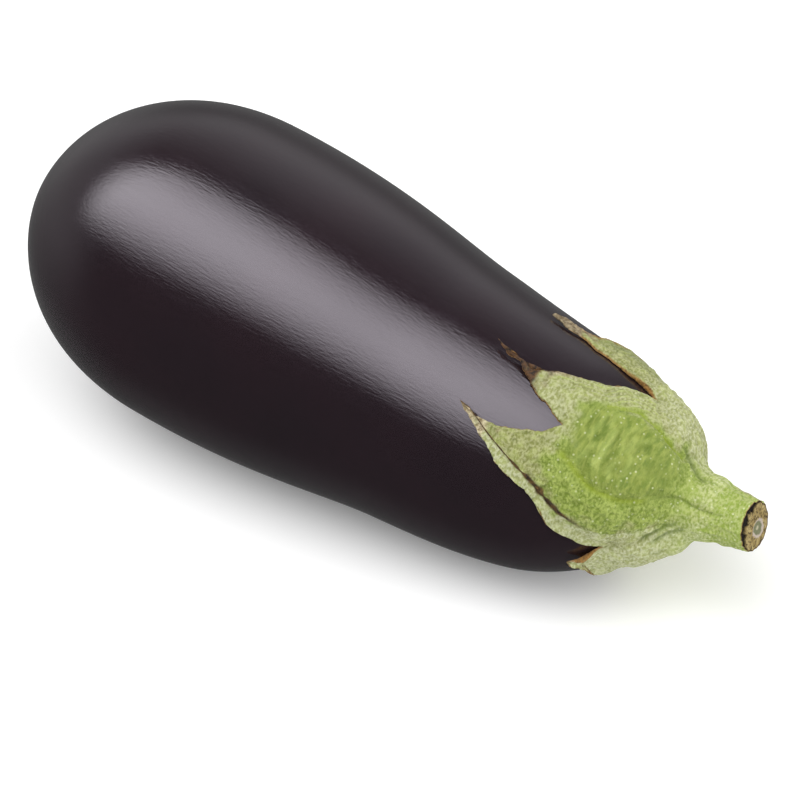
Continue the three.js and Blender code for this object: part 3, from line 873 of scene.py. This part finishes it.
def stem_grid():
    """Rows of points from the middle of the cut to the bark and back along the stem to inside the
    calyx; their angles, places along the stem and flutes' lines; and for the cut, the ways from the
    bark and from the pith and the width of the dark gap, as shares of its radius."""
    angle = np.arange(STEM_ROUND + 1) * 2 * np.pi / STEM_ROUND
    last = SEAM - (STEM_LENGTH - COLLAR_AT)
    side = np.linspace(last, SEAM + STEM_IN, STEM_ROWS)[:, None] + 0 * angle
    turn = 0 * side + angle
    place = green_base(turn, side)
    fibres = 0.05 * np.cos(31 * turn + 0.35 * side) * smooth(side, last, last + 2)
    lumps = 0.12 * noise(place, 3.2, 21, (2.0, 1, 1)) + 0.06 * noise(place, 1.6, 22, (1.5, 1, 1))
    groove, groove_shade_line = grooves(turn, side)
    ragged_edge = 0.25 + 0.12 * np.cos(17 * angle) * np.cos(5 * angle + 1)
    edge = smooth(side, last - 0.1, last + 0.9)
    height = edge * (lumps + fibres) - groove - ragged_edge * (1 - edge)
    height = height - DIP * np.clip(side - SEAM, 0, None) ** 2
    bark = place + green_normal(turn, side) * height[..., None]

    shares = np.linspace(0, 1, CUT_RINGS)[:, None] ** 0.8 + 0 * angle
    gap = 0.02 + 0.34 * np.clip(np.cos(angle - 0.75), 0, 1) ** 0.9
    gap = gap * (1 + 0.35 * np.cos(7 * angle + 1) + 0.15 * np.cos(19 * angle + 2)) + 0 * shares
    sunk = smooth(1 - shares, 0.0, 0.03) * (1 - smooth(1 - shares, gap - 0.02, gap + 0.03))
    near, high = shares * np.sin(angle), shares * np.cos(angle)
    pith = np.hypot(near - PITH_NEAR, high - PITH_UP)
    centre = bark[0, :-1].mean(0)
    face = centre + shares[..., None] * (bark[0] - centre)
    outward = np.cross(bark[0][STEM_ROUND // 4] - centre, bark[0][0] - centre)
    outward *= np.sign(outward[0]) / np.linalg.norm(outward)
    ring_edge = 0.14 * bell((pith - 0.40) / 0.05)
    grit = 0.05 * noise(face, 1.2, 23) * (1 - smooth(shares, 0.93, 1.0))
    relief = -0.55 * sunk + ring_edge - 0.2 * (1 - smooth(pith, 0.2, 0.4)) + grit
    face = face + (relief * smooth(1 - shares, 0, 0.02))[..., None] * outward
    cap = stem_point(angle, 0 * angle + COLLAR_AT - 2.0, 0 * angle)
    grid = np.concatenate([face, bark[1:], cap[None]])

    def whole(on_face, on_bark):
        return np.concatenate([on_face + 0 * shares, (on_bark + 0 * side)[1:], (on_bark + 0 * side)[-1:]])

    cut_facts = {"ring": whole(1 - shares, 0), "gap": whole(gap, 0), "pith": whole(pith, 1)}
    return grid, whole(0, turn), whole(last, side), whole(0, groove_shade_line), cut_facts


def cut_wood():
    """The dry cut end: tan wood, a dark gap where it shrank from the bark, and a pale ring of
    fibres round a grey-green pith. Open vessels 0.1 mm wide are drawn at 0.5 mm as dark specks."""
    material, tree = new_material("dry cut stem")
    place = add(tree, "TexCoord", output="Object")
    ring, gap, pith = [
        add(tree, "Attribute", output="Fac", attribute_name=key) for key in ("ring", "gap", "pith")
    ]
    grit = add(tree, "TexNoise", {"Vector": place, "Scale": 1500, "Detail": 3, "Roughness": 0.7})
    coarse = add(tree, "TexNoise", {"Vector": place, "Scale": 500, "Detail": 2})
    inward = add(tree, "Math", {0: ring, 1: gap}, operation="SUBTRACT")
    shaken, frayed, bark, pits = [
        add(tree, "Math", {0: shake, 1: strength, 2: value}, operation="MULTIPLY_ADD")
        for shake, strength, value in [
            (coarse, 0.22, pith), (grit, 0.12, inward), (grit, 0.03, ring), (coarse, 0.6, ring)
        ]
    ]
    colour = srgb("84703E")
    for value, low, high, most, tint in [
        (coarse, 0.35, 0.65, 1.0, "B6A36C"),
        (grit, 0.48, 0.62, 0.9, "40301C"),
        (pits, 0.36, 0.31, 0.9, "2C2014"),
        (shaken, 0.54, 0.48, 1.0, "BCAEA0"),
        (shaken, 0.44, 0.38, 1.0, "76795A"),
        (shaken, 0.24, 0.18, 1.0, "BAB496"),
        (frayed, 0.10, 0.05, 1.0, "1C140E"),
        (bark, 0.035, 0.025, 1.0, "6E5430"),
    ]:
        amount = add(tree, "MapRange", dict(zip(LIMITS, (value, low, high, 0.0, most))))
        ends = {0: amount, 6: colour, 7: srgb(tint)}
        colour = add(tree, "Mix", ends, data_type="RGBA")
    bump = add(tree, "Bump", {"Height": grit, "Distance": 0.0005})
    look = {"Base Color": colour, "Roughness": 0.85, "IOR": 1.4, "Normal": bump}
    add(tree, "OutputMaterial", {"Surface": add(tree, "BsdfPrincipled", look)})
    return material


stem_points, stem_angle, stem_along, flute_shade_line, cut_facts = stem_grid()
near_calyx = 1 - smooth(stem_along, 5, 15)
# The stem is covered like the calyx. A scuff on its far side has dried to cork.
stem_facts = dict.fromkeys(calyx_facts, 0)
stem_facts.update(down=0.35, green=1, speck=1, pale=0.8, bald=0.8 * near_calyx, stalk=near_calyx)
# Painted shade along the flutes' lines on the stem.
stem_facts["shade"] = 1.2 * flute_shade_line
stem_facts["rim"] = (stem_along - stem_along.min()) / 0.45
stem_facts["dry"] = 0.6 * bell((stem_angle - SCUFF_AT) / 0.16) * smooth(stem_along, 2, -2)
stem_facts = {key: value + 0 * stem_along for key, value in stem_facts.items()}
stem_faces = [grid_faces(*stem_along.shape)]
stem_looks = [green_skin, cut_wood()]
stem = new_piece("stem_stalk", placed(stem_points), stem_faces, stem_looks, **cut_facts, **stem_facts)
on_cut = np.arange(len(stem.data.polygons)) < (CUT_RINGS - 1) * STEM_ROUND
stem.data.polygons.foreach_set("material_index", on_cut.astype(np.int32))
weld(stem)
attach(stem, "root")
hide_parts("stem")


# The studio: a plain white floor, a long soft window of light above the near side, and a dim
# room. The floor is out of the gloss's sight, so the dark skin mirrors the room and not the floor.


def floor_paint():
    """Matt white paint."""
    material, tree = new_material("matt white floor")
    look = {"Base Color": srgb("F8F8F8"), "Roughness": 1.0, "Specular IOR Level": 0.0}
    look.update({"Emission Color": (1, 1, 1, 1), "Emission Strength": 0.15})
    add(tree, "OutputMaterial", {"Surface": add(tree, "BsdfPrincipled", look)})
    return material


floor_points = np.array([(-4, -4, 0), (4, -4, 0), (4, 4, 0), (-4, 4, 0)], float)
floor = new_piece("floor", floor_points, [np.array([[0, 1, 2, 3]])], [floor_paint()])
floor.visible_glossy = False

WINDOW_AT = np.array([-0.26, -0.302, 0.917])  # direction of its middle
WINDOW_LONG = np.array([0.794, -0.607, 0.025])
WINDOW_LIGHT = 4.5
FILL_AT, FILL_LIGHT = np.array([0.82, 0.33, 0.47]), 1.8  # a broad weaker light beyond the stem
ROOM_LIGHT = 0.035


def room():
    """World light. The window is a bright oblong with soft edges, measured across a plane square
    to its middle, whose light falls off from the near side to the far one. The room is dim below,
    brighter on the left, and brightest above the horizon on the far side."""
    world = bpy.data.worlds.new("soft studio")
    bpy.context.scene.world = world
    world.use_nodes = True
    tree = world.node_tree
    tree.nodes.clear()
    way = add(tree, "TexCoord", output="Generated")
    middle = WINDOW_AT / np.linalg.norm(WINDOW_AT)
    long = WINDOW_LONG - middle * (WINDOW_LONG @ middle)
    long /= np.linalg.norm(long)
    short = np.cross(middle, long)
    fill = FILL_AT / np.linalg.norm(FILL_AT)
    ahead, along, aside, filled, left, far, high = [
        add(tree, "VectorMath", {0: way, 1: tuple(vector)}, operation="DOT_PRODUCT")
        for vector in (middle, long, short, fill, (-1.0, 0, 0), (0, 1.0, 0), (0, 0, 1.0))
    ]

    # Places in the window, as shares of its distance, and on lines along its slanting sides.
    ahead = add(tree, "Math", {0: ahead, 1: 0.001}, operation="MAXIMUM")
    across = add(tree, "Math", {0: along, 1: ahead}, operation="DIVIDE")
    up = add(tree, "Math", {0: aside, 1: ahead}, operation="DIVIDE")
    slope = add(tree, "MapRange", dict(zip(LIMITS, (across, -1.3, 1.6, 0.054, 2.165))))
    lower, upper, fall = [
        add(tree, "Math", {0: value, 1: factor, 2: start}, operation="MULTIPLY_ADD")
        for value, factor, start in [(across, -0.286, up), (across, -0.966, up), (up, -1.377, slope)]
    ]
    window = add(tree, "MapRange", dict(zip(LIMITS, (fall, 0.0, 3.0, 0.0, 3.0 * WINDOW_LIGHT))))

    # The light of the window between its four sides; the fill, the lit wall on the far side, the
    # floor's end of it, the wall on the left, and the floor itself under the far side and on the
    # left. Each fades by S curves, from nothing at the first value of a measure to all at the next.
    sides = [(across, -1.08, -0.40), (across, 1.90, -0.55), (lower, -0.97, 0.33), (upper, 0.87, 0.57)]
    light = ROOM_LIGHT
    for strength, limits in [
        (window, sides),
        (FILL_LIGHT, [(filled, 0.62, 0.93)]),
        (0.34, [(far, 0.15, 1.0), (high, 0.0, 0.45), (left, -0.18, 0.24)]),
        (0.1, [(far, 0.0, 1.0), (high, -1.0, -0.2)]),
        (0.22, [(left, 0.6, 0.95), (high, -0.6, 0.1)]),
        (0.034, [(far, -0.6, -0.2), (high, -0.2, -0.7)]),
        (0.032, [(left, 0.45, 0.8), (high, 0.0, -0.5)]),
    ]:
        for limit in limits:
            share = add(tree, "MapRange", dict(zip(LIMITS, limit)), interpolation_type="SMOOTHSTEP")
            strength = add(tree, "Math", {0: share, 1: strength}, operation="MULTIPLY")
        light = add(tree, "Math", {0: light, 1: strength}, operation="ADD")
    back = add(tree, "Background", {"Color": (1, 1, 1, 1), "Strength": light})
    add(tree, "OutputWorld", {"Surface": back})


room()

# The camera looks down at the fruit from beside its neck.
VIEW_AZIMUTH, VIEW_ELEVATION = np.radians(-55.15), np.radians(42)
VIEW_DISTANCE, LENS = 0.8, 142.92
camera_data = bpy.data.cameras.new("camera")
camera_data.lens = LENS  # mm
camera_data.sensor_width = 36
camera_data.clip_start = 0.01
camera = bpy.data.objects.new("camera", camera_data)
bpy.context.scene.collection.objects.link(camera)
level = np.cos(VIEW_ELEVATION)
back = np.array([level * np.cos(VIEW_AZIMUTH), level * np.sin(VIEW_AZIMUTH), np.sin(VIEW_ELEVATION)])
right = np.array([-np.sin(VIEW_AZIMUTH), np.cos(VIEW_AZIMUTH), 0])
up = np.cross(back, right)
target = placed(np.array([105.0, 0, 37.14]) + 3.83 * right - 8.84 * up)
placing = np.column_stack([right, up, back, target + VIEW_DISTANCE * back])
camera.matrix_world = np.vstack([placing, [0, 0, 0, 1]]).T.tolist()  # column by column
bpy.context.scene.camera = camera
bpy.context.scene.view_settings.view_transform = "Standard"
